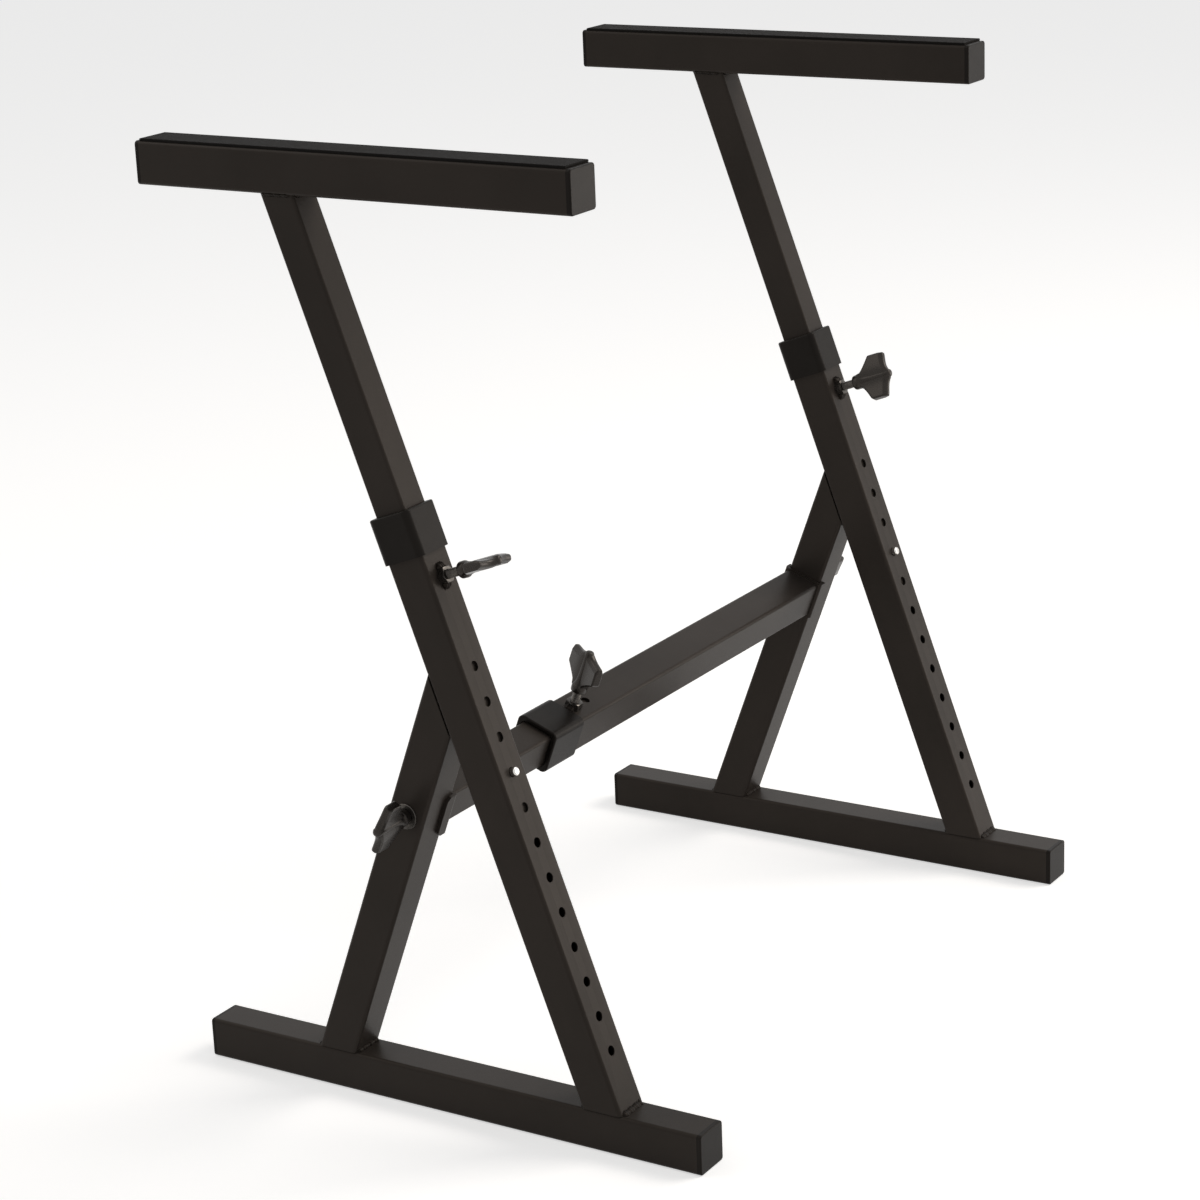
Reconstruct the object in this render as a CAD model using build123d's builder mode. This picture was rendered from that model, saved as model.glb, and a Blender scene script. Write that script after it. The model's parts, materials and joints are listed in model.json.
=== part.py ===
from build123d import *
import math
import os

# Z-style keyboard stand: two side frames of square steel tube, a telescoping crossbar between their
# braces, and two arms that slide up and down in the leaning main tubes. Units are millimetres.
# X runs along the crossbar from the left frame to the right one, Y runs to the back, Z is up.
# The origin is on the floor, midway between the side frames and midway along the feet.

# Square tube of the feet, main tubes, braces, arms and outer crossbar
tube_size = 35.0
tube_wall = 1.2
tube_corner = 3.0

# Square tube that slides inside it, with the play that the collars and guides take up
tube_play = 1.3
inner_wall = 1.2
inner_corner = 2.5

# Side frame: where the two leaning tubes stand on the foot, and how far the main tube passes the joint
stand_width = 705.0
main_from_front = 92.0
foot_spread = 262.5
brace_from_back = 135.5
main_lean = 20.0
brace_lean = 21.0
main_above_joint = 153.6

# Plastic collars at the mouths of the outer tubes
collar_thickness = 2.8
collar_lip = 3.0
height_collar_length = 38.0
crossbar_collar_length = 45.0
liner_depth = 22.0
liner_clearance = 0.1
slide_clearance = 0.3
collar_edge_round = 1.4

# Height holes in the front face of each main tube, and the nut between them and the collar
nut_below_collar = 21.0
top_hole_below_nut = 76.0
hole_pitch = 30.0
hole_diameter = 8.5
lowest_hole = 42.0
holes_above_pin = 3

# Sliding height tube and arm
height_tube_length = 523.0
pin_from_end = 35.0
arm_length = 408.0
arm_back_reach = 135.5
pad_width = 32.0
pad_thickness = 2.0
pad_end_gap = 0.5
pad_edge_round = 0.8

# Plastic end caps: a flange on the tube's end and a hollow plug inside it
cap_flange = 4.0
cap_edge_round = 1.2
cap_plug_depth = 16.0
cap_plug_wall = 2.2
cap_clearance = 0.15

# Guide plugs on the hidden ends of the sliding tubes
guide_flange = 2.0
guide_depth = 12.0
guide_wall = 2.0

# Crossbar: its place on the braces, its two tubes, its clamp nut and the hole beside it
crossbar_below_joint = 107.0
crossbar_outer_length = 475.0
crossbar_inner_length = 450.0
width_nut_past_collar = 12.0
stop_hole_past_nut = 20.5
stop_hole_diameter = 8.0

# U-shaped saddles that seat the crossbar on the braces
saddle_sheet = 3.0
saddle_margin = 1.5
saddle_lap = 10.0
saddle_clearance = 0.15
saddle_chamfer = 3.5

# M8 studs, the nuts they turn in and the washers under the brace knobs
thread_diameter = 8.0
thread_clearance = 0.05
bolt_clearance = 0.3
nut_flats = 13.0
nut_height = 6.5
nut_chamfer = 1.2
stud_in_knob = 18.0
stud_past_nut = 2.0
stud_end_chamfer = 1.0
stud_tip_gap = 0.1
washer_diameter = 22.0
washer_thickness = 1.5
washer_chamfer = 0.4

# Wing knobs: heights are added up from the hub's end, along the stud
knob_hub_radius = 7.0
knob_hub_height = 6.5
knob_hub_round = 1.6
knob_neck_half = 6.0
knob_half_span = 21.5
knob_flare_height = 11.5
knob_flare_dip = 1.4
knob_tip_length = 17.0
knob_rim_rise = 3.8
knob_crown_rise = 1.7
knob_barrel_radius = 5.2
knob_crown_radius = 4.7
knob_crown_flat = 0.4
knob_thickness = 6.5
knob_wing_offset = 2.0
knob_edge_round = 1.3
knob_rim = 3.4
knob_pocket = 0.9
height_knob_standoff = 19.5
width_knob_standoff = 17.0
left_height_knob_turn = 77.0
right_height_knob_turn = -28.0
width_knob_turn = 57.0
left_brace_knob_turn = -6.0
right_brace_knob_turn = 6.0

# Spring pins that lock the height
pin_clearance = 0.5
pin_out = 5.0
pin_dome = 1.6
rivet_diameter = 4.0
rivet_clearance = 0.1
rivet_head_diameter = 6.5
rivet_head_height = 0.9
spring_sheet = 0.6
spring_width = 12.0
spring_flat = 8.0
spring_length = 52.0
spring_bend = 5.0

LEFT = -1
RIGHT = 1

# Directions in the plane of a side frame
lean = math.radians(main_lean)
tilt = math.radians(brace_lean)
across = Vector(1, 0, 0)
main_up = Vector(0, math.sin(lean), math.cos(lean))
main_front = Vector(0, -math.cos(lean), math.sin(lean))
brace_up = Vector(0, -math.sin(tilt), math.cos(tilt))
brace_front = Vector(0, -math.cos(tilt), -math.sin(tilt))

# Tube sections
half_tube = tube_size / 2
bore_size = tube_size - 2 * tube_wall
bore_corner = tube_corner - tube_wall
inner_size = bore_size - 2 * tube_play
half_inner = inner_size / 2
inner_bore_size = inner_size - 2 * inner_wall
tube_gap = half_tube - half_inner

# Places along the foot, and heights along the main tube and the brace from the foot's top
foot_top = tube_size
foot_length = main_from_front + foot_spread + brace_from_back
main_foot_y = main_from_front - foot_length / 2
brace_foot_y = foot_length / 2 - brace_from_back
brace_length = (foot_spread * math.cos(lean) - half_tube) / math.sin(lean + tilt)
joint_height = (brace_length * math.cos(tilt) + half_tube * math.sin(lean)) / math.cos(lean)
main_length = joint_height + main_above_joint
height_nut = main_length + collar_lip - height_collar_length - nut_below_collar
top_hole = height_nut - top_hole_below_nut
hole_count = math.floor((top_hole - lowest_hole) / hole_pitch) + 1
pin_height = top_hole - holes_above_pin * hole_pitch
height_tube_end = pin_height - pin_from_end
arm_seat = height_tube_end + height_tube_length
arm_bottom = foot_top + arm_seat * math.cos(lean)
arm_middle = arm_bottom + half_tube
arm_back = main_foot_y + arm_seat * math.sin(lean) + arm_back_reach
arm_front = arm_back - arm_length

# Places along the crossbar
crossbar_rise = brace_length - crossbar_below_joint
crossbar_left = tube_size + saddle_sheet - stand_width / 2
crossbar_right = -crossbar_left
crossbar_mouth = crossbar_right - crossbar_outer_length
crossbar_hidden_end = crossbar_left + crossbar_inner_length
width_nut = crossbar_mouth - collar_lip + crossbar_collar_length + width_nut_past_collar

# Round sizes, and heights along the knob
thread_radius = thread_diameter / 2
thread_bore_radius = thread_radius + thread_clearance
bolt_hole_radius = thread_radius + bolt_clearance
hole_radius = hole_diameter / 2
pin_radius = hole_radius - pin_clearance
knob_tip_start = knob_hub_height + knob_flare_height
knob_rim_top = knob_tip_start + knob_tip_length + knob_rim_rise
knob_length = knob_rim_top + knob_crown_rise
rivet_radius = rivet_diameter / 2


def side_x(side):
    """The middle plane of a side frame."""
    return side * (stand_width / 2 - half_tube)


def main_point(side, height, front):
    """A point on a main tube: height along its axis, front from its centre line."""
    foot = Vector(side_x(side), main_foot_y, foot_top)
    return foot + main_up * height + main_front * front


def brace_point(side, height, front):
    """A point on a brace: height along its axis, front from its centre line."""
    foot = Vector(side_x(side), brace_foot_y, foot_top)
    return foot + brace_up * height + brace_front * front


def crossbar_point(x, up):
    """A point on the crossbar, whose section is turned with the braces."""
    return Vector(x, 0, 0) + brace_point(0, crossbar_rise, 0) + brace_up * up


def main_section(side, height):
    """The plane across a main tube, facing up along it."""
    return Plane(origin=main_point(side, height, 0), x_dir=across, z_dir=main_up)


def main_face(side, front):
    """The plane of a front face of a main tube. Its Y runs up the tube from the foot's top."""
    return Plane(origin=main_point(side, 0, front), x_dir=across, z_dir=main_front)


def crossbar_section(x, facing):
    """The plane across the crossbar, facing along +X or -X."""
    return Plane(origin=crossbar_point(x, 0), x_dir=brace_up, z_dir=across * facing)


def height_nut_seat(side):
    """Where the nut stands on a main tube."""
    origin = main_point(side, height_nut, half_tube)
    return Plane(origin=origin, x_dir=across, z_dir=main_front)


def width_nut_seat():
    """Where the nut stands on the outer crossbar tube."""
    return Plane(origin=crossbar_point(width_nut, half_tube), x_dir=across, z_dir=brace_up)


def brace_face(side, outward):
    """The plane of a brace's side face at the crossbar's height, facing away from the brace."""
    origin = brace_point(side, crossbar_rise, 0) + across * outward * half_tube
    return Plane(origin=origin, x_dir=brace_up, z_dir=across * outward)


def foot_end(side, outward):
    """The plane of a foot tube's front or back end."""
    y = outward * (foot_length / 2 - cap_flange)
    return Plane(origin=(side_x(side), y, foot_top / 2), x_dir=across, z_dir=(0, outward, 0))


def arm_end(side, outward):
    """The plane of an arm tube's front or back end."""
    y = arm_back - cap_flange if outward > 0 else arm_front + cap_flange
    return Plane(origin=(side_x(side), y, arm_middle), x_dir=across, z_dir=(0, outward, 0))


def knob_base(seat, standoff, wing, turn):
    """The plane of a knob's hub end above the face that it clamps. Its X runs along the wings."""
    angle = math.radians(turn)
    wings = wing * math.cos(angle) + seat.z_dir.cross(wing) * math.sin(angle)
    return Plane(origin=seat.origin + seat.z_dir * standoff, x_dir=wings, z_dir=seat.z_dir)


def height_knob_base(side, turn):
    return knob_base(height_nut_seat(side), height_knob_standoff, main_up, turn)


def brace_knob_base(side, turn):
    return knob_base(brace_face(side, side), washer_thickness, brace_up, turn)


def square_ring(size, wall, corner):
    """The section of a square tube, drawn in the current sketch."""
    RectangleRounded(size, size, corner)
    RectangleRounded(size - 2 * wall, size - 2 * wall, corner - wall, mode=Mode.SUBTRACT)


def outermost_edges(builder, plane):
    """The edges of the face that lies farthest along a plane's Z."""
    return builder.faces().sort_by(Axis(plane.origin, plane.z_dir))[-1].edges()


def straight_tube(end, length, size, wall, corner):
    """A plain square tube that runs back from its end plane."""
    with BuildPart() as tube:
        with BuildSketch(end):
            square_ring(size, wall, corner)
        extrude(amount=-length)
    return tube.part


def end_cap(end):
    """A cap on a tube's end plane."""
    plug_size = bore_size - 2 * cap_clearance
    with BuildPart() as cap:
        with BuildSketch(end):
            RectangleRounded(tube_size, tube_size, tube_corner)
        extrude(amount=cap_flange)
        fillet(outermost_edges(cap, end), cap_edge_round)
        with BuildSketch(end):
            square_ring(plug_size, cap_plug_wall, bore_corner + cap_plug_wall)
        extrude(amount=-cap_plug_depth)
    return cap.part


def main_tube(side):
    """The leaning tube, cut level on the foot, with the height holes and the nut's hole in its front."""
    below = tube_size
    height_holes = [(0, top_hole - i * hole_pitch) for i in range(hole_count)]
    with BuildPart() as tube:
        with BuildSketch(main_section(side, -below)):
            square_ring(tube_size, tube_wall, tube_corner)
        extrude(amount=main_length + below)
        split(bisect_by=Plane.XY.offset(foot_top), keep=Keep.TOP)
        with BuildSketch(main_face(side, half_tube)):
            with Locations(*height_holes):
                Circle(hole_radius)
            with Locations((0, height_nut)):
                Circle(bolt_hole_radius)
        extrude(amount=-2 * tube_wall, mode=Mode.SUBTRACT)
    return tube.part


def brace_tube(side):
    """The prop behind the main tube, cut to lie on it, and drilled across for the crossbar's stud."""
    below = tube_size
    main_back = Plane(origin=main_point(side, 0, -half_tube), x_dir=across, z_dir=-main_front)
    with BuildPart() as tube:
        with BuildSketch(Plane(origin=brace_point(side, -below, 0), x_dir=across, z_dir=brace_up)):
            square_ring(tube_size, tube_wall, tube_corner)
        extrude(amount=below + brace_length + 2 * tube_size)
        split(bisect_by=Plane.XY.offset(foot_top), keep=Keep.TOP)
        split(bisect_by=main_back, keep=Keep.TOP)
        with BuildSketch(brace_face(side, side)):
            Circle(bolt_hole_radius)
        extrude(amount=-tube_size, mode=Mode.SUBTRACT)
    return tube.part


def collar(mouth, length):
    """A collar over a tube's mouth, with a liner inside it. The mouth's plane faces out of the tube."""
    outer_size = tube_size + 2 * collar_thickness
    liner_size = bore_size - 2 * liner_clearance
    passage_size = inner_size + 2 * slide_clearance
    with BuildPart() as sleeve:
        with BuildSketch(mouth.offset(collar_lip)):
            RectangleRounded(outer_size, outer_size, tube_corner + collar_thickness)
        extrude(amount=-length)
        with BuildSketch(mouth):
            RectangleRounded(tube_size, tube_size, tube_corner)
        extrude(amount=-length, mode=Mode.SUBTRACT)
        with BuildSketch(mouth):
            RectangleRounded(liner_size, liner_size, bore_corner)
        extrude(amount=-liner_depth)
        with BuildSketch(mouth.offset(collar_lip)):
            RectangleRounded(passage_size, passage_size, inner_corner + slide_clearance)
        extrude(amount=-length, mode=Mode.SUBTRACT)
        fillet(outermost_edges(sleeve, mouth), collar_edge_round)
    return sleeve.part


def guide_plug(end):
    """A guide on the hidden end of a sliding tube. The end's plane faces out of that tube."""
    flange_size = bore_size - 2 * slide_clearance
    plug_size = inner_bore_size - 2 * cap_clearance
    with BuildPart() as guide:
        with BuildSketch(end):
            RectangleRounded(flange_size, flange_size, bore_corner)
        extrude(amount=guide_flange)
        with BuildSketch(end):
            square_ring(plug_size, guide_wall, inner_corner + guide_wall)
        extrude(amount=-guide_depth)
    return guide.part


def hex_nut(seat):
    """A nut that stands on a face, with the corners of its free end chamfered."""
    corner_radius = nut_flats / math.sqrt(3)
    with BuildPart() as nut:
        with BuildSketch(seat):
            RegularPolygon(nut_flats / 2, 6, major_radius=False)
            Circle(thread_bore_radius, mode=Mode.SUBTRACT)
        extrude(amount=nut_height)
        with BuildSketch(Plane(origin=seat.origin, x_dir=seat.x_dir, z_dir=-seat.y_dir)):
            with BuildLine():
                Polyline(
                    (0, 0),
                    (corner_radius, 0),
                    (corner_radius, nut_height - nut_chamfer / 2),
                    (corner_radius - nut_chamfer, nut_height),
                    (0, nut_height),
                    close=True,
                )
            make_face()
        revolve(axis=Axis(seat.origin, seat.z_dir), mode=Mode.INTERSECT)
    return nut.part


def knob_wing():
    """One flat wing of the knob, beside the axis, with a thumb hollow in each face."""
    half = knob_thickness / 2
    neck = (knob_neck_half, knob_hub_height)
    low_corner = (knob_half_span, knob_tip_start)
    high_corner = (knob_half_span, knob_tip_start + knob_tip_length)
    flare_slope = math.atan2(low_corner[1] - neck[1], low_corner[0] - neck[0])
    flare_middle = (
        (neck[0] + low_corner[0]) / 2 - knob_flare_dip * math.sin(flare_slope),
        (neck[1] + low_corner[1]) / 2 + knob_flare_dip * math.cos(flare_slope),
    )
    root = (0, knob_hub_height / 2)
    middle = Plane.XZ.offset(-knob_wing_offset)
    with BuildPart() as wing:
        with BuildSketch(middle) as outline:
            with BuildLine():
                Line(root, neck)
                ThreePointArc(neck, flare_middle, low_corner)
                Polyline(low_corner, high_corner, (0, knob_rim_top), root)
            make_face()
        extrude(amount=half, both=True)
        fillet(wing.edges(), knob_edge_round)
        for face_side in (1, -1):
            with BuildSketch(middle.offset(face_side * half)):
                add(outline.sketch_local)
                offset(amount=-knob_rim, kind=Kind.INTERSECTION, mode=Mode.REPLACE)
            extrude(amount=-face_side * knob_pocket, mode=Mode.SUBTRACT)
    return wing.part


def wing_knob():
    """A moulded knob, with its hub's end on XY and its wings along X.

    The wings lie on opposite sides of the axis, on a barrel with a domed crown.
    """
    wing = knob_wing()
    with BuildPart() as knob:
        add(wing)
        add(wing.rotate(Axis.Z, 180))
        with BuildSketch(Plane.XZ):
            with BuildLine():
                FilletPolyline(
                    (0, 0),
                    (knob_hub_radius, 0),
                    (knob_hub_radius, knob_hub_height),
                    (knob_barrel_radius, knob_tip_start),
                    (knob_crown_radius, knob_length),
                    (0, knob_length),
                    radius=[knob_hub_round] * 3 + [knob_crown_radius - knob_crown_flat],
                )
                Line((0, knob_length), (0, 0))
            make_face()
        revolve(axis=Axis.Z)
        with BuildSketch(Plane.XY):
            Circle(thread_bore_radius)
        extrude(amount=stud_in_knob, mode=Mode.SUBTRACT)
    return knob.part


def threaded_stud(base, reach):
    """The stud of a knob, from inside its hub to a tip at a distance below the hub's end."""
    with BuildPart() as stud:
        with BuildSketch(base.offset(-reach)):
            Circle(thread_radius)
        extrude(amount=reach + stud_in_knob)
        chamfer(outermost_edges(stud, Plane(base.origin, z_dir=-base.z_dir)), stud_end_chamfer)
    return stud.part


def washer(seat):
    with BuildPart() as ring:
        with BuildSketch(seat):
            Circle(washer_diameter / 2)
            Circle(bolt_hole_radius, mode=Mode.SUBTRACT)
        extrude(amount=washer_thickness)
        chamfer(outermost_edges(ring, seat).sort_by(SortBy.RADIUS)[-1], washer_chamfer)
    return ring.part


def saddle(side):
    """A U of steel sheet. Its web lies on the brace's inner face, and its flanges lap the brace."""
    web = brace_face(side, -side)
    height = tube_size + 2 * saddle_margin
    gap = tube_size + 2 * saddle_clearance
    inward = web.z_dir
    with BuildPart() as bracket:
        with BuildSketch(Plane(origin=web.origin - brace_up * height / 2, x_dir=inward, z_dir=brace_up)):
            with Locations(((saddle_sheet - saddle_lap) / 2, 0)):
                Rectangle(saddle_sheet + saddle_lap, gap + 2 * saddle_sheet)
            with Locations((-saddle_lap / 2, 0)):
                Rectangle(saddle_lap, gap, mode=Mode.SUBTRACT)
        extrude(amount=height)
        bends = bracket.edges().filter_by(Axis(web.origin, brace_up)).sort_by(Axis(web.origin, inward))
        fillet(bends[-2:], saddle_sheet)
        corners = bracket.edges().filter_by(Axis(web.origin, brace_front))
        chamfer(corners.sort_by(Axis(web.origin, inward))[:4], saddle_chamfer)
        with BuildSketch(web):
            Circle(bolt_hole_radius)
        extrude(amount=saddle_sheet, mode=Mode.SUBTRACT)
    return bracket.part


def height_tube(side):
    """The sliding tube, from its hidden end to the arm's underside, with the pin's hole."""
    with BuildPart() as tube:
        with BuildSketch(main_section(side, height_tube_end)):
            square_ring(inner_size, inner_wall, inner_corner)
        extrude(amount=height_tube_length + inner_size)
        split(bisect_by=Plane.XY.offset(arm_bottom), keep=Keep.BOTTOM)
        with BuildSketch(main_face(side, half_inner)):
            with Locations((0, pin_height)):
                Circle(hole_radius)
        extrude(amount=-2 * inner_wall, mode=Mode.SUBTRACT)
    return tube.part


def snap_pin(side):
    """The round button in the hole in use, with the rivet that holds it on the spring."""
    seat = half_inner - inner_wall
    base = Plane(origin=main_point(side, pin_height, seat), x_dir=across, z_dir=main_front)
    with BuildPart() as pin:
        with BuildSketch(base):
            Circle(pin_radius)
        extrude(amount=half_tube + pin_out - seat)
        fillet(outermost_edges(pin, base), pin_dome)
        with BuildSketch(base):
            Circle(rivet_radius)
        extrude(amount=-spring_sheet)
        with BuildSketch(base.offset(-spring_sheet)):
            Circle(rivet_head_diameter / 2)
        extrude(amount=-rivet_head_height)
    return pin.part


def snap_spring(side):
    """The strip inside the height tube, bent over: one leg behind the pin, one on the back wall."""
    wall = half_inner - inner_wall
    start = main_point(side, pin_height, 0) + across * spring_width / 2
    with BuildPart() as spring:
        with BuildSketch(Plane(origin=start, x_dir=main_front, z_dir=-across)):
            with BuildLine():
                FilletPolyline(
                    (wall, -spring_flat),
                    (wall, spring_flat),
                    (0, spring_length),
                    (-wall, spring_flat),
                    radius=[spring_bend, spring_bend],
                )
                offset(amount=spring_sheet, side=Side.LEFT)
            make_face()
        extrude(amount=spring_width)
        with BuildSketch(main_face(side, wall)):
            with Locations((0, pin_height)):
                Circle(rivet_radius + rivet_clearance)
        extrude(amount=-2 * spring_sheet, mode=Mode.SUBTRACT)
    return spring.part


def arm_pad(side):
    """The rubber strip along the top of an arm, between its caps."""
    with BuildPart() as pad:
        with BuildSketch(Plane.XY.offset(arm_bottom + tube_size)):
            with Locations((side_x(side), (arm_front + arm_back) / 2)):
                Rectangle(pad_width, arm_length - 2 * (cap_flange + pad_end_gap))
        extrude(amount=pad_thickness)
        fillet(pad.faces().sort_by(Axis.Z)[-1].edges(), pad_edge_round)
    return pad.part


def crossbar_outer_tube():
    """The outer crossbar tube, with the nut's hole and the hole beside it in its upper face."""
    with BuildPart() as bar:
        with BuildSketch(crossbar_section(crossbar_mouth, 1)):
            square_ring(tube_size, tube_wall, tube_corner)
        extrude(amount=crossbar_outer_length)
        with BuildSketch(width_nut_seat()):
            Circle(bolt_hole_radius)
            with Locations((stop_hole_past_nut, 0)):
                Circle(stop_hole_diameter / 2)
        extrude(amount=-2 * tube_wall, mode=Mode.SUBTRACT)
    return bar.part


def write(part, name):
    """Labels a finished piece and writes it."""
    part.label = name
    export_step(part, f"parts/{name}.step")


def write_frame(side, name):
    """The pieces of one side frame, which stand on the floor together."""
    tube_length = foot_length - 2 * cap_flange
    saddle_seat = brace_face(side, -side).offset(saddle_sheet)
    foot = straight_tube(foot_end(side, 1), tube_length, tube_size, tube_wall, tube_corner)
    write(foot, f"foot_tube_{name}")
    write(end_cap(foot_end(side, -1)), f"foot_front_cap_{name}")
    write(end_cap(foot_end(side, 1)), f"foot_rear_cap_{name}")
    write(main_tube(side), f"main_tube_{name}")
    write(brace_tube(side), f"brace_tube_{name}")
    write(collar(main_section(side, main_length), height_collar_length), f"height_collar_{name}")
    write(hex_nut(height_nut_seat(side)), f"height_nut_{name}")
    write(saddle(side), f"saddle_{name}")
    write(hex_nut(saddle_seat), f"saddle_nut_{name}")
    write(washer(brace_face(side, side)), f"brace_washer_{name}")


def write_arm(side, name):
    """The pieces that slide up and down with one arm."""
    tube_length = arm_length - 2 * cap_flange
    hidden_end = Plane(origin=main_point(side, height_tube_end, 0), x_dir=across, z_dir=-main_up)
    write(height_tube(side), f"height_tube_{name}")
    write(guide_plug(hidden_end), f"height_guide_{name}")
    write(snap_pin(side), f"snap_pin_{name}")
    write(snap_spring(side), f"snap_spring_{name}")
    arm = straight_tube(arm_end(side, 1), tube_length, tube_size, tube_wall, tube_corner)
    write(arm, f"arm_tube_{name}")
    write(end_cap(arm_end(side, -1)), f"arm_front_cap_{name}")
    write(end_cap(arm_end(side, 1)), f"arm_rear_cap_{name}")
    write(arm_pad(side), f"arm_pad_{name}")


def write_knob(knob, base, reach, name):
    """A copy of the knob on its plane, with a stud whose tip is at a distance below the hub's end."""
    write(knob.moved(base.location), name)
    write(threaded_stud(base, reach), name.replace("knob", "stud"))


def write_crossbar():
    """The two tubes of the crossbar, with the collar, guide and nut between them."""
    hidden_end = crossbar_section(crossbar_hidden_end, 1)
    inner_tube = straight_tube(hidden_end, crossbar_inner_length, inner_size, inner_wall, inner_corner)
    write(inner_tube, "crossbar_inner_tube")
    write(crossbar_outer_tube(), "crossbar_outer_tube")
    write(collar(crossbar_section(crossbar_mouth, -1), crossbar_collar_length), "crossbar_collar")
    write(guide_plug(hidden_end), "crossbar_guide")
    write(hex_nut(width_nut_seat()), "width_nut")


height_reach = height_knob_standoff + tube_gap - stud_tip_gap
width_reach = width_knob_standoff + tube_gap - stud_tip_gap
brace_reach = washer_thickness + tube_size + saddle_sheet + nut_height + stud_past_nut

os.makedirs("parts", exist_ok=True)
knob = wing_knob()
for side, name, height_turn, brace_turn in (
    (LEFT, "left", left_height_knob_turn, left_brace_knob_turn),
    (RIGHT, "right", right_height_knob_turn, right_brace_knob_turn),
):
    write_frame(side, name)
    write_arm(side, name)
    write_knob(knob, height_knob_base(side, height_turn), height_reach, f"height_knob_{name}")
    write_knob(knob, brace_knob_base(side, brace_turn), brace_reach, f"brace_knob_{name}")
write_crossbar()
width_base = knob_base(width_nut_seat(), width_knob_standoff, across, width_knob_turn)
write_knob(knob, width_base, width_reach, "width_knob")
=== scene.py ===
"""Looks of the z-style keyboard stand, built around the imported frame."""

import json
import math

import bmesh
import bpy
from mathutils import Matrix, Vector


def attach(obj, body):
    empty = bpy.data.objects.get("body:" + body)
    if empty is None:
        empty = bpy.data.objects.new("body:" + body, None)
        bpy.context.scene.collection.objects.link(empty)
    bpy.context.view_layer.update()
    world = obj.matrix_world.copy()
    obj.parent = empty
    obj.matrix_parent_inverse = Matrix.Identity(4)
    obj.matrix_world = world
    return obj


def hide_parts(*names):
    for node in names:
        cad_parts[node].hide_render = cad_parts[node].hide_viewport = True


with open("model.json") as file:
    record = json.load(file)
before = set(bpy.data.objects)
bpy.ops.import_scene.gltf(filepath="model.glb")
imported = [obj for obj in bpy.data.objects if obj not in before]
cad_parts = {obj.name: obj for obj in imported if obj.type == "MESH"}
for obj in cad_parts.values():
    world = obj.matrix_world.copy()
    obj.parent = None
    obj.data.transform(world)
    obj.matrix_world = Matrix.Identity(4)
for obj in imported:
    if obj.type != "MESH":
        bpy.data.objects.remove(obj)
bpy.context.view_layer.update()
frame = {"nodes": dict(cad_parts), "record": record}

SIDES = (("left", -1), ("right", 1))
LEAN = math.radians(20)
TILT = math.radians(21)
ACROSS = Vector((1, 0, 0))
MAIN_UP = Vector((0, math.sin(LEAN), math.cos(LEAN)))
MAIN_FRONT = Vector((0, -math.cos(LEAN), math.sin(LEAN)))
BRACE_UP = Vector((0, -math.sin(TILT), math.cos(TILT)))
BRACE_FRONT = Vector((0, -math.cos(TILT), -math.sin(TILT)))
HALF_TUBE = 0.0175
HALF_INNER = 0.015
FOOT_TOP = 0.035
SIDE_X = 0.335
OUTER_FACE_X = 0.3525
MAIN_FOOT_Y = -0.153
BRACE_FOOT_Y = 0.1095
ARM_SEAT = 0.773009
HEIGHT_NUT = 0.451009
WIDTH_NUT_SEAT = Vector((-0.1065, 0.016392, 0.277555))
NUT_EDGE = 0.0066


# ---------------------------------------------------------------- materials

def new_material(name):
    """An empty node material: its tree, its shader and its object coordinates."""
    material = bpy.data.materials.new(name)
    material.use_nodes = True
    tree = material.node_tree
    tree.nodes.clear()
    shader = tree.nodes.new("ShaderNodeBsdfPrincipled")
    output = tree.nodes.new("ShaderNodeOutputMaterial")
    place = tree.nodes.new("ShaderNodeTexCoord")
    tree.links.new(shader.outputs["BSDF"], output.inputs["Surface"])
    return material, tree, shader, place.outputs["Object"]


def noise(tree, place, scale, detail=4.0, roughness=0.55, stretch=(1, 1, 1)):
    """A noise texture in the object's own space, with features of 1/scale metres."""
    mapping = tree.nodes.new("ShaderNodeMapping")
    mapping.inputs["Scale"].default_value = stretch
    texture = tree.nodes.new("ShaderNodeTexNoise")
    texture.inputs["Scale"].default_value = scale
    texture.inputs["Detail"].default_value = detail
    texture.inputs["Roughness"].default_value = roughness
    tree.links.new(place, mapping.inputs["Vector"])
    tree.links.new(mapping.outputs["Vector"], texture.inputs["Vector"])
    return texture.outputs["Fac"]


def ramp(tree, value, stops):
    """A colour ramp over a value."""
    node = tree.nodes.new("ShaderNodeValToRGB")
    node.color_ramp.interpolation = "LINEAR"
    points = node.color_ramp.elements
    while len(points) < len(stops):
        points.new(0.5)
    for point, (at, colour) in zip(points, stops):
        point.position = at
        point.color = (*colour, 1)
    tree.links.new(value, node.inputs["Fac"])
    return node.outputs["Color"]


def span(tree, value, low, high):
    """A value from 0..1 mapped onto low..high."""
    node = tree.nodes.new("ShaderNodeMapRange")
    node.inputs["To Min"].default_value = low
    node.inputs["To Max"].default_value = high
    tree.links.new(value, node.inputs["Value"])
    return node.outputs["Result"]


def mix(tree, factor, first, second):
    """A mix of two colour outputs."""
    node = tree.nodes.new("ShaderNodeMix")
    node.data_type = "RGBA"
    tree.links.new(factor, node.inputs["Factor"])
    tree.links.new(first, node.inputs["A"])
    tree.links.new(second, node.inputs["B"])
    return node.outputs["Result"]


def math_node(tree, operation, first, second):
    """A maths node on an output and an output or number."""
    node = tree.nodes.new("ShaderNodeMath")
    node.operation = operation
    tree.links.new(first, node.inputs[0])
    if isinstance(second, (int, float)):
        node.inputs[1].default_value = second
    else:
        tree.links.new(second, node.inputs[1])
    return node.outputs["Value"]


def bump(tree, shader, height, strength, distance):
    """Fine relief on a shader's surface."""
    node = tree.nodes.new("ShaderNodeBump")
    node.inputs["Strength"].default_value = strength
    node.inputs["Distance"].default_value = distance
    tree.links.new(height, node.inputs["Height"])
    tree.links.new(node.outputs["Normal"], shader.inputs["Normal"])


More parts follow.
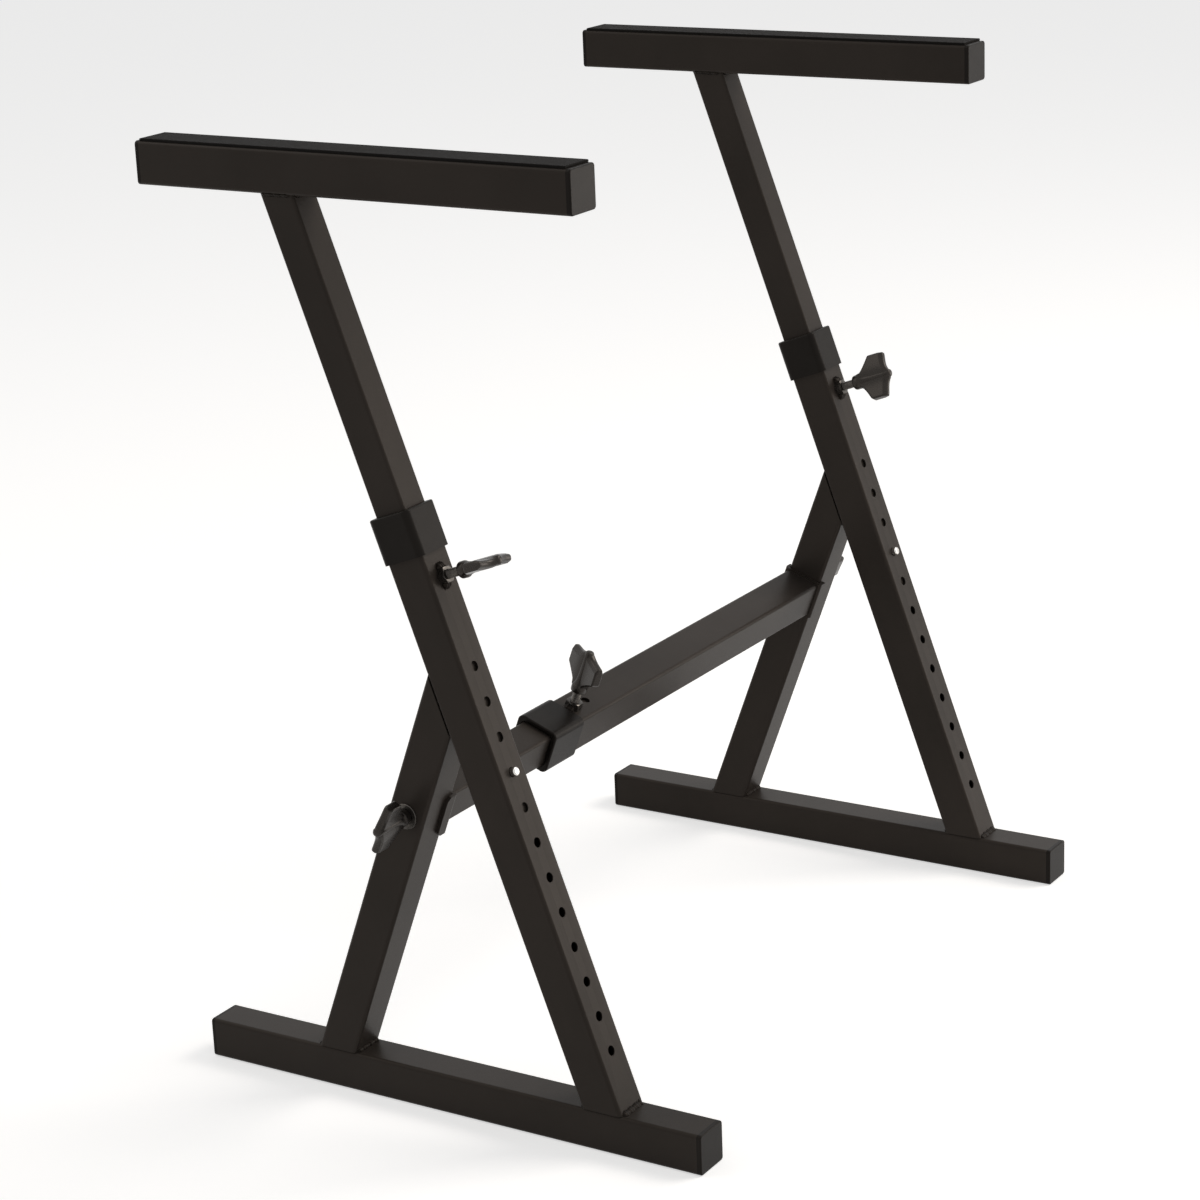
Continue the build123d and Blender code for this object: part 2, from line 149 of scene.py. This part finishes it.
def painted_edge_highlight_mask(tree, low, high):
    """A painted highlight mask: 1 on sharp outer edges and 0 elsewhere."""
    geometry = tree.nodes.new("ShaderNodeNewGeometry")
    return ramp(tree, geometry.outputs["Pointiness"], [(low, (0, 0, 0)), (high, (1, 1, 1))])


def powder_coat():
    """Satin black powder coat: a fine orange peel, a warm cast, and a painted highlight that lightens the
    sharp outer edges.
    """
    material, tree, shader, place = new_material("black_powder_coat")
    cloud = noise(tree, place, 9, 3)
    peel = noise(tree, place, 900, 3, 0.5)
    speckle = noise(tree, place, 2600, 2, 0.6)
    body = ramp(tree, cloud, [(0.3, (0.0072, 0.0055, 0.0045)), (0.7, (0.0112, 0.0085, 0.0067))])
    # The edge colour is lighter than the body colour: a painted highlight along the sharp outer edges.
    edge = ramp(tree, cloud, [(0.3, (0.026, 0.022, 0.019)), (0.7, (0.036, 0.030, 0.026))])
    tree.links.new(mix(tree, painted_edge_highlight_mask(tree, 0.53, 0.60), body, edge), shader.inputs["Base Color"])
    peel_share = math_node(tree, "MULTIPLY", peel, 0.6)
    speckle_share = math_node(tree, "MULTIPLY", speckle, 0.4)
    grain = math_node(tree, "ADD", peel_share, speckle_share)
    tree.links.new(span(tree, grain, 0.27, 0.47), shader.inputs["Roughness"])
    shader.inputs["Specular IOR Level"].default_value = 0.11
    shader.inputs["Specular Tint"].default_value = (1.0, 0.86, 0.75, 1)
    bump(tree, shader, grain, 0.16, 0.0003)
    return material


def plastic(name, low, high, rough, grain_scale, strength, level=0.4):
    """Moulded black plastic with a fine spark-eroded grain."""
    material, tree, shader, place = new_material(name)
    grain = noise(tree, place, grain_scale, 4, 0.6)
    cloud = noise(tree, place, 25, 3)
    tree.links.new(ramp(tree, cloud, [(0.3, low), (0.7, high)]), shader.inputs["Base Color"])
    tree.links.new(span(tree, grain, rough - 0.08, rough + 0.1), shader.inputs["Roughness"])
    shader.inputs["Specular IOR Level"].default_value = level
    shader.inputs["Specular Tint"].default_value = (1.0, 0.90, 0.82, 1)
    bump(tree, shader, grain, strength, 0.0003)
    return material


def rubber():
    """Matt black rubber with a fine pebbled skin and a little dust."""
    material, tree, shader, place = new_material("black_rubber")
    pebble = tree.nodes.new("ShaderNodeTexVoronoi")
    pebble.inputs["Scale"].default_value = 1100
    tree.links.new(place, pebble.inputs["Vector"])
    dust = noise(tree, place, 40, 6, 0.7)
    tree.links.new(ramp(tree, dust, [(0.35, (0.0062, 0.0055, 0.0050)), (0.72, (0.0120, 0.0108, 0.0098))]),
                   shader.inputs["Base Color"])
    tree.links.new(span(tree, dust, 0.62, 0.84), shader.inputs["Roughness"])
    shader.inputs["Specular IOR Level"].default_value = 0.06
    bump(tree, shader, pebble.outputs["Distance"], 0.3, 0.0004)
    return material


def steel(name, colours, rough, metallic, scratch=(1, 1, 1), strength=0.05):
    """Steel with fine marks along one direction and a varying polish."""
    material, tree, shader, place = new_material(name)
    marks = noise(tree, place, 1500, 4, 0.6, scratch)
    patch = noise(tree, place, 120, 3)
    tree.links.new(ramp(tree, patch, [(0.35, colours[0]), (0.7, colours[1])]), shader.inputs["Base Color"])
    tree.links.new(span(tree, marks, rough - 0.07, rough + 0.09), shader.inputs["Roughness"])
    shader.inputs["Metallic"].default_value = metallic
    bump(tree, shader, marks, strength, 0.0002)
    return material


COAT = powder_coat()
PLASTIC = plastic("black_plastic", (0.0062, 0.0053, 0.0046), (0.0100, 0.0086, 0.0074), 0.36, 1800, 0.14, 0.11)
KNOB_PLASTIC = plastic("knob_plastic", (0.0120, 0.0102, 0.0090), (0.0185, 0.0160, 0.0140),
                       0.27, 1500, 0.08, 0.34)
RUBBER = rubber()
BLACKENED = steel("blackened_steel", ((0.045, 0.041, 0.037), (0.110, 0.100, 0.090)), 0.26, 0.85)
PLATED = steel("plated_steel", ((0.62, 0.60, 0.57), (0.74, 0.72, 0.69)), 0.17, 1.0, strength=0.02)
SPRING = steel("spring_steel", ((0.32, 0.31, 0.30), (0.42, 0.41, 0.40)), 0.30, 1.0, (1, 1, 0.05))

FINISH_OF_SLOT = {
    "black_powder_coat": COAT,
    "black_plastic": PLASTIC,
    "black_rubber": RUBBER,
    "blackened_steel": BLACKENED,
    "plated_steel": PLATED,
    "spring_steel": SPRING,
}


def finish_cad_nodes():
    """Gives every CAD node the material of its record slot, except the knobs, which get the knob plastic."""
    slot_of = {row["node"]: row["material_slot"] for row in frame["record"]["subparts"]}
    for name, node in frame["nodes"].items():
        material = FINISH_OF_SLOT[slot_of[name]]
        if "_knob" in name:
            material = KNOB_PLASTIC
        node.data.materials.clear()
        node.data.materials.append(material)


# ---------------------------------------------------------------- helpers

def mesh_piece(name, verts, faces, material, body):
    """A mesh object that rides on a body and takes a material."""
    mesh = bpy.data.meshes.new(name)
    mesh.from_pydata([tuple(v) for v in verts], [], faces)
    mesh.validate()
    work = bmesh.new()
    work.from_mesh(mesh)
    bmesh.ops.recalc_face_normals(work, faces=work.faces)
    work.to_mesh(mesh)
    work.free()
    for polygon in mesh.polygons:
        polygon.use_smooth = True
    mesh.materials.append(material)
    piece = bpy.data.objects.new(name, mesh)
    bpy.context.scene.collection.objects.link(piece)
    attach(piece, body)
    return piece


def ring_tube(rings):
    """Vertices and faces of a skin over equal rings of points, closed at both ends."""
    count = len(rings[0])
    verts = [p for ring in rings for p in ring]
    faces = []
    for i in range(len(rings) - 1):
        for j in range(count):
            a, b = i * count + j, i * count + (j + 1) % count
            faces.append((a, b, b + count, a + count))
    faces.append(tuple(range(count)))
    faces.append(tuple((len(rings) - 1) * count + j for j in range(count)))
    return verts, faces


# ---------------------------------------------------------------- threads

THREAD_PITCH = 0.00125
THREAD_RADIUS = 0.004
THREAD_DEPTH = 0.00062
THREAD_TIP_RADIUS = 0.0028
THREAD_CHAMFER = 0.0009


def threaded_rod(name, tip, axis, length, body, node):
    """A screw thread from its tip along its axis, in place of the plain stud."""
    axis = axis.normalized()
    side = axis.orthogonal().normalized()
    up = axis.cross(side)
    segments = 28
    rows_per_turn = 4
    rows = int(length / THREAD_PITCH * rows_per_turn)
    rings = [[tip + (side * math.cos(a) + up * math.sin(a)) * THREAD_TIP_RADIUS
              for a in (math.tau * j / segments for j in range(segments))]]
    for i in range(rows + 1):
        along = length * i / rows
        ring = []
        for j in range(segments):
            turn = j / segments
            phase = (along / THREAD_PITCH - turn) % 1.0
            depth = abs(phase - 0.5) * 2
            radius = THREAD_RADIUS - THREAD_DEPTH * depth
            radius -= max(0.0, THREAD_CHAMFER - along)
            angle = math.tau * turn
            ring.append(tip + axis * along + (side * math.cos(angle) + up * math.sin(angle)) * radius)
        rings.append(ring)
    verts, faces = ring_tube(rings)
    piece = mesh_piece(name, verts, faces, BLACKENED, body)
    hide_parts(node)
    return piece


def stud_ends(node, axis):
    """The lowest and highest distance of a node along an axis, and a point on its middle line."""
    mesh = frame["nodes"][node].data
    along = [v.co.dot(axis) for v in mesh.vertices]
    low, high = min(along), max(along)
    middle = sum((v.co for v in mesh.vertices), Vector()) / len(mesh.vertices)
    return middle + axis * (low - middle.dot(axis)), high - low


def make_threads():
    """A threaded rod in place of each of the five plain studs."""
    rows = [("width_stud", BRACE_UP, "width_knob")]
    for name, sign in SIDES:
        rows.append((f"height_stud_{name}", MAIN_FRONT, f"{name}_height_knob"))
        rows.append((f"brace_stud_{name}", ACROSS * sign, f"{name}_brace_knob"))
    for node, axis, body in rows:
        tip, length = stud_ends(node, axis)
        threaded_rod(f"{node}_thread", tip, axis, length, body, node)


# ---------------------------------------------------------------- wing knobs

KNOB_HALF_SPAN = 0.0215
KNOB_TIP_START = 0.018
KNOB_TIP_END = 0.035
KNOB_HUB_HEIGHT = 0.0065
KNOB_HALF_THICKNESS = 0.0040
KNOB_WING_OFFSET = 0.0019
KNOB_CORNER = 0.0017
KNOB_BAND = 0.0046
KNOB_EDGE = 0.0017
KNOB_BAND_BEVEL = 0.0017
KNOB_SHIFT_RUN = 0.0055
KNOB_NECK = 0.006
KNOB_RIM_RISE = 0.0030
KNOB_RIM_DIP = 0.0005
KNOB_CROWN_RISE = 0.0022
KNOB_CROWN_RUN = 0.0050
HEIGHT_KNOB_STANDOFF = 0.0195
WIDTH_KNOB_STANDOFF = 0.017
WASHER_THICKNESS = 0.0015
BRACE_BOLT_Y = 0.022663
BRACE_BOLT_Z = 0.261218
HEIGHT_KNOB_TURNS = (77, -28)
BRACE_KNOB_TURNS = (-6, 6)
WIDTH_KNOB_TURN = 57


def ease(value):
    """A smooth step from 0 to 1."""
    value = min(1.0, max(0.0, value))
    return value * value * (3 - 2 * value)


def knob_low(x):
    """The height of the wings' lower outline at a distance from the axis."""
    if x < KNOB_NECK:
        return KNOB_HUB_HEIGHT / 2
    share = (x - KNOB_NECK) / (KNOB_HALF_SPAN - KNOB_NECK)
    return KNOB_HUB_HEIGHT + (KNOB_TIP_START - KNOB_HUB_HEIGHT) * share ** 0.74


def knob_high(x):
    """The height of the wings' upper outline: tips, shallow dips and a crown between them."""
    share = x / KNOB_HALF_SPAN
    height = KNOB_TIP_END + KNOB_RIM_RISE * (1 - share)
    height += KNOB_CROWN_RISE * math.exp(-(x / KNOB_CROWN_RUN) ** 2)
    return height - KNOB_RIM_DIP * math.sin(math.pi * min(1.0, share)) ** 2


def corner_cut(x):
    """How far a tip's rounded corner falls back from its square corner."""
    over = x - (KNOB_HALF_SPAN - KNOB_CORNER)
    if over <= 0:
        return 0.0
    return KNOB_CORNER * (1 - math.sqrt(max(0.0, 1 - (over / KNOB_CORNER) ** 2)))


def knob_wings():
    """The S-shaped plate of both wings in the knob's own frame, with a bevelled band along its rim."""
    across_count, up_count, band_count = 84, 44, 12
    spots = [math.sin(math.pi / 2 * (2 * i / across_count - 1)) * KNOB_HALF_SPAN
             for i in range(across_count + 1)]
    verts, faces, index = [], [], {}
    for face in (1, -1):
        for i, x in enumerate(spots):
            reach = abs(x)
            low = knob_low(reach) + corner_cut(reach)
            high = knob_high(reach) - corner_cut(reach)
            for j in range(up_count + 1):
                if j <= up_count - band_count:
                    share = math.sin(math.pi / 2 * j / (up_count - band_count) - math.pi / 2) + 1
                    z = low + (high - KNOB_BAND - low) * share
                else:
                    share = math.sin(math.pi / 2 * (j - up_count + band_count) / band_count)
                    z = high - KNOB_BAND * (1 - share)
                border = min(KNOB_HALF_SPAN - reach, (high - z) * 0.98, (z - low) * 0.72)
                border = max(0.0, min(border, KNOB_EDGE))
                round_off = KNOB_EDGE - math.sqrt(max(0.0, KNOB_EDGE ** 2 - (KNOB_EDGE - border) ** 2))
                half = KNOB_HALF_THICKNESS - round_off
                half -= KNOB_BAND_BEVEL * max(0.0, 1 - (high - z) / KNOB_BAND)
                shift = KNOB_WING_OFFSET * math.tanh(x / KNOB_SHIFT_RUN)
                key = (face, i, j)
                index[key] = len(verts)
                verts.append(Vector((x, shift + face * half, z)))
    for face in (1, -1):
        for i in range(across_count):
            for j in range(up_count):
                faces.append(tuple(index[(face, a, b)] for a, b in
                                   ((i, j), (i + 1, j), (i + 1, j + 1), (i, j + 1))))
    edge = [(i, 0) for i in range(across_count)] + [(across_count, j) for j in range(up_count)]
    edge += [(i, up_count) for i in range(across_count, 0, -1)] + [(0, j) for j in range(up_count, 0, -1)]
    for k, spot in enumerate(edge):
        after = edge[(k + 1) % len(edge)]
        faces.append((index[(1, *spot)], index[(1, *after)], index[(-1, *after)], index[(-1, *spot)]))
    return verts, faces


def knob_barrel():
    """The hub, barrel and domed crown in the knob's own frame."""
    profile = [(0.0043, 0.0), (0.0060, 0.0), (0.0067, 0.0004), (0.0070, 0.0012), (0.0070, 0.0050),
               (0.0068, 0.0060), (0.0062, 0.0068), (0.0055, 0.0085), (0.0047, 0.0120), (0.0043, 0.0180),
               (0.0042, 0.0300), (0.0040, 0.0385), (0.0032, 0.0398), (0.0018, 0.0403), (0.0004, 0.0404)]
    count = 40
    rings = [[Vector((math.cos(math.tau * k / count) * radius, math.sin(math.tau * k / count) * radius, z))
              for k in range(count)] for radius, z in profile]
    return ring_tube(rings)


def make_knob(node, seat, axis, wing, turn, standoff, body):
    """A moulded wing knob in place of the plain one."""
    angle = math.radians(turn)
    x_way = wing * math.cos(angle) + axis.cross(wing) * math.sin(angle)
    y_way = axis.cross(x_way)
    origin = seat + axis * standoff
    wing_verts, wing_faces = knob_wings()
    barrel_verts, barrel_faces = knob_barrel()
    count = len(wing_verts)
    verts = [origin + x_way * v.x + y_way * v.y + axis * v.z for v in wing_verts + barrel_verts]
    faces = wing_faces + [tuple(count + k for k in face) for face in barrel_faces]
    piece = mesh_piece(f"{node}_moulding", verts, faces, KNOB_PLASTIC, body)
    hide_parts(node)
    return piece


def make_knobs():
    """The five wing knobs, each at the place and turn of its plain one."""
    for (name, sign), height_turn, brace_turn in zip(SIDES, HEIGHT_KNOB_TURNS, BRACE_KNOB_TURNS):
        nut = Vector((sign * SIDE_X, MAIN_FOOT_Y, FOOT_TOP)) + MAIN_UP * HEIGHT_NUT + MAIN_FRONT * HALF_TUBE
        make_knob(f"height_knob_{name}", nut, MAIN_FRONT, MAIN_UP, height_turn, HEIGHT_KNOB_STANDOFF,
                  f"{name}_height_knob")
        bolt = Vector((sign * OUTER_FACE_X, BRACE_BOLT_Y, BRACE_BOLT_Z))
        make_knob(f"brace_knob_{name}", bolt, ACROSS * sign, BRACE_UP, brace_turn, WASHER_THICKNESS,
                  f"{name}_brace_knob")
    make_knob("width_knob", WIDTH_NUT_SEAT, BRACE_UP, ACROSS, WIDTH_KNOB_TURN, WIDTH_KNOB_STANDOFF,
              "width_knob")


# ---------------------------------------------------------------- welds

SIDE_WELD_WIDTH = 0.0034
NUT_WELD_HALF = 0.0048


def weld_bead(name, start, end, first, second, body, width=0.0032, seed=1.0):
    """A rippled fillet from start to end, in the corner between two faces with the normals given."""
    run = end - start
    length = run.length
    run.normalize()
    ripples = max(3, int(length / 0.0016))
    rows = ripples * 3
    rings = []
    for i in range(rows + 1):
        share = i / rows
        ripple = 0.5 - 0.5 * math.cos(math.tau * share * ripples)
        wander = 0.10 * math.sin(seed * 7 + share * 23) + 0.06 * math.sin(seed * 3 + share * 57)
        size = width * (0.90 + 0.12 * ripple + wander)
        size *= min(1.0, 0.25 + 6 * min(share, 1 - share) * length / 0.012)
        centre = start + run * (length * share)
        buried = -(first + second) * 0.0006
        ring = [centre + buried]
        for k in range(7):
            angle = math.pi / 2 * k / 6
            bulge = 0.74 + 0.10 * math.sin(2 * angle)
            ring.append(centre + (first * math.cos(angle) + second * math.sin(angle)) * size
                        * (bulge if 0 < k < 6 else 1.0))
        rings.append(ring)
    verts, faces = ring_tube(rings)
    return mesh_piece(name, verts, faces, COAT, body)


def crossing(point, direction, other_point, other_direction):
    """Where two lines in a side frame's plane meet."""
    a, b = direction.y, -other_direction.y
    c, d = direction.z, -other_direction.z
    gap = other_point - point
    share = (gap.y * d - b * gap.z) / (a * d - b * c)
    return point + direction * share


def make_welds():
    """The beads that join the tubes and nuts of each side frame, arm and crossbar."""
    back = Vector((0, 1, 0))
    for name, sign in SIDES:
        side, arm = f"{name}_side", f"{name}_arm"
        x = sign * SIDE_X
        half = ACROSS * (HALF_TUBE - 0.003)
        main_foot = Vector((x, MAIN_FOOT_Y, FOOT_TOP))
        brace_foot = Vector((x, BRACE_FOOT_Y, FOOT_TOP))
        main_cut = back * (HALF_TUBE / math.cos(LEAN))
        brace_cut = back * (HALF_TUBE / math.cos(TILT))
        rows = [
            ("main_front", main_foot - main_cut, -back, MAIN_UP),
            ("main_back", main_foot + main_cut, back, MAIN_UP),
            ("brace_front", brace_foot - brace_cut, -back, BRACE_UP),
            ("brace_back", brace_foot + brace_cut, back, BRACE_UP),
        ]
        main_back_line = main_foot - MAIN_FRONT * HALF_TUBE
        upper = crossing(brace_foot - BRACE_FRONT * HALF_TUBE, BRACE_UP, main_back_line, MAIN_UP)
        lower = crossing(brace_foot + BRACE_FRONT * HALF_TUBE, BRACE_UP, main_back_line, MAIN_UP)
        rows.append(("brace_top", upper, MAIN_UP, -BRACE_UP))
        rows.append(("brace_throat", lower, -MAIN_UP, -BRACE_UP))
        for number, (label, place, first, second) in enumerate(rows):
            weld_bead(f"weld_{label}_{name}", place - half, place + half, first, second, side,
                      SIDE_WELD_WIDTH, number + 2 * sign)
        nut = main_foot + MAIN_UP * HEIGHT_NUT + MAIN_FRONT * HALF_TUBE
        for label, way in (("above", MAIN_UP), ("below", -MAIN_UP)):
            middle = nut + way * NUT_EDGE
            weld_bead(f"weld_height_nut_{label}_{name}", middle - ACROSS * NUT_WELD_HALF,
                      middle + ACROSS * NUT_WELD_HALF,
                      way, MAIN_FRONT, side, 0.0048, 5 * sign)
        arm_foot = main_foot + MAIN_UP * ARM_SEAT
        arm_cut = back * (HALF_INNER / math.cos(LEAN))
        half = ACROSS * (HALF_INNER - 0.0025)
        weld_bead(f"weld_arm_front_{name}", arm_foot - arm_cut - half, arm_foot - arm_cut + half,
                  -back, -MAIN_UP, arm, 0.003, 3)
        weld_bead(f"weld_arm_back_{name}", arm_foot + arm_cut - half, arm_foot + arm_cut + half,
                  back, -MAIN_UP, arm, 0.003, 4)
        for label, way in (("inner", -sign), ("outer", sign)):
            face = ACROSS * (way * HALF_INNER)
            weld_bead(f"weld_arm_{label}_{name}", arm_foot + face - arm_cut * 0.84,
                      arm_foot + face + arm_cut * 0.84, ACROSS * way, -MAIN_UP, arm, 0.0021, 6)
    for label, way in (("left", -ACROSS), ("right", ACROSS)):
        middle = WIDTH_NUT_SEAT + way * NUT_EDGE
        weld_bead(f"weld_width_nut_{label}", middle - BRACE_FRONT * NUT_WELD_HALF,
                  middle + BRACE_FRONT * NUT_WELD_HALF,
                  way, BRACE_UP, "right_side", 0.0046, 9)


# ---------------------------------------------------------------- stage

FLOOR_REACH = 14.0
FLOOR_GLOW = 0.55
WORLD_LIGHT = 0.32
LAMP_COLOUR = (1.0, 0.94, 0.87)


def seen_ray(tree):
    """1 for camera, glossy and transmission rays, and 0 for the rays that light the object."""
    path = tree.nodes.new("ShaderNodeLightPath")
    seen = math_node(tree, "MAXIMUM", path.outputs["Is Camera Ray"], path.outputs["Is Glossy Ray"])
    return math_node(tree, "MAXIMUM", seen, path.outputs["Is Transmission Ray"])


def make_stage():
    """A white floor that keeps the object's shadow, a white world and soft lamps."""
    material = bpy.data.materials.new("white_floor")
    material.use_nodes = True
    tree = material.node_tree
    tree.nodes.clear()
    output = tree.nodes.new("ShaderNodeOutputMaterial")
    paper = tree.nodes.new("ShaderNodeBsdfDiffuse")
    paper.inputs["Color"].default_value = (0.82, 0.82, 0.82, 1)
    glow = tree.nodes.new("ShaderNodeEmission")
    glow.inputs["Color"].default_value = (1, 1, 1, 1)
    glow.inputs["Strength"].default_value = FLOOR_GLOW
    both = tree.nodes.new("ShaderNodeAddShader")
    seen = tree.nodes.new("ShaderNodeMixShader")
    tree.links.new(paper.outputs[0], both.inputs[0])
    tree.links.new(glow.outputs[0], both.inputs[1])
    tree.links.new(seen_ray(tree), seen.inputs["Fac"])
    tree.links.new(paper.outputs[0], seen.inputs[1])
    tree.links.new(both.outputs[0], seen.inputs[2])
    tree.links.new(seen.outputs[0], output.inputs["Surface"])
    mesh = bpy.data.meshes.new("floor")
    reach = FLOOR_REACH
    mesh.from_pydata([(-reach, -reach, 0), (reach, -reach, 0), (reach, reach, 0), (-reach, reach, 0)],
                     [], [(0, 1, 2, 3)])
    mesh.materials.append(material)
    floor = bpy.data.objects.new("floor", mesh)
    floor.location.z = -0.0004
    bpy.context.scene.collection.objects.link(floor)

    world = bpy.data.worlds.new("studio")
    bpy.context.scene.world = world
    world.use_nodes = True
    tree = world.node_tree
    tree.nodes.clear()
    output = tree.nodes.new("ShaderNodeOutputWorld")
    light = tree.nodes.new("ShaderNodeBackground")
    light.inputs["Color"].default_value = (1, 1, 1, 1)
    strength = span(tree, seen_ray(tree), WORLD_LIGHT, 1.0)
    tree.links.new(strength, light.inputs["Strength"])
    tree.links.new(light.outputs[0], output.inputs["Surface"])

    lamp("key", (1.7, -2.0, 3.2), (0.0, 0.0, 0.3), 1.8, 62)
    lamp("fill", (-1.4, 2.2, 2.8), (0.0, 0.0, 0.4), 2.0, 14)
    lamp("low_front", (1.9, -2.0, 0.5), (0.0, 0.0, 0.25), 1.2, 16)


def lamp(name, place, target, size, power):
    """A square area lamp that faces a point."""
    data = bpy.data.lights.new(name, "AREA")
    data.shape = "SQUARE"
    data.size = size
    data.energy = power
    data.color = LAMP_COLOUR
    obj = bpy.data.objects.new(name, data)
    obj.location = place
    obj.rotation_euler = (Vector(target) - Vector(place)).to_track_quat("-Z", "Y").to_euler()
    bpy.context.scene.collection.objects.link(obj)


CAMERA_PLACE = Vector((-2.29795, -1.4062, 1.1888))
CAMERA_YAW = math.radians(57.54)
CAMERA_PITCH = math.radians(-18.66)
CAMERA_ROLL = math.radians(-2.39)
FOCAL_PX = 3185.9
CENTRE_X_PX = -0.6
CENTRE_Y_PX = 74.3
PHOTO_PX = 1200


def make_camera():
    """The photograph's camera."""
    forward = Vector((math.sin(CAMERA_YAW) * math.cos(CAMERA_PITCH),
                      math.cos(CAMERA_YAW) * math.cos(CAMERA_PITCH), math.sin(CAMERA_PITCH)))
    right = Vector((math.cos(CAMERA_YAW), -math.sin(CAMERA_YAW), 0))
    up = right.cross(forward)
    turned_right = right * math.cos(CAMERA_ROLL) + up * math.sin(CAMERA_ROLL)
    turned_up = up * math.cos(CAMERA_ROLL) - right * math.sin(CAMERA_ROLL)
    data = bpy.data.cameras.new("camera")
    data.sensor_fit = "HORIZONTAL"
    data.sensor_width = 36
    data.lens = FOCAL_PX * 36 / PHOTO_PX
    data.shift_x = -CENTRE_X_PX / PHOTO_PX
    data.shift_y = CENTRE_Y_PX / PHOTO_PX
    data.clip_start = 0.05
    camera = bpy.data.objects.new("camera", data)
    rotation = Matrix((turned_right, turned_up, -forward)).transposed()
    camera.matrix_world = Matrix.Translation(CAMERA_PLACE) @ rotation.to_4x4()
    bpy.context.scene.collection.objects.link(camera)
    bpy.context.scene.camera = camera


make_camera()
make_stage()
finish_cad_nodes()
make_threads()
make_knobs()
make_welds()

bpy.context.scene.view_settings.view_transform = "Standard"
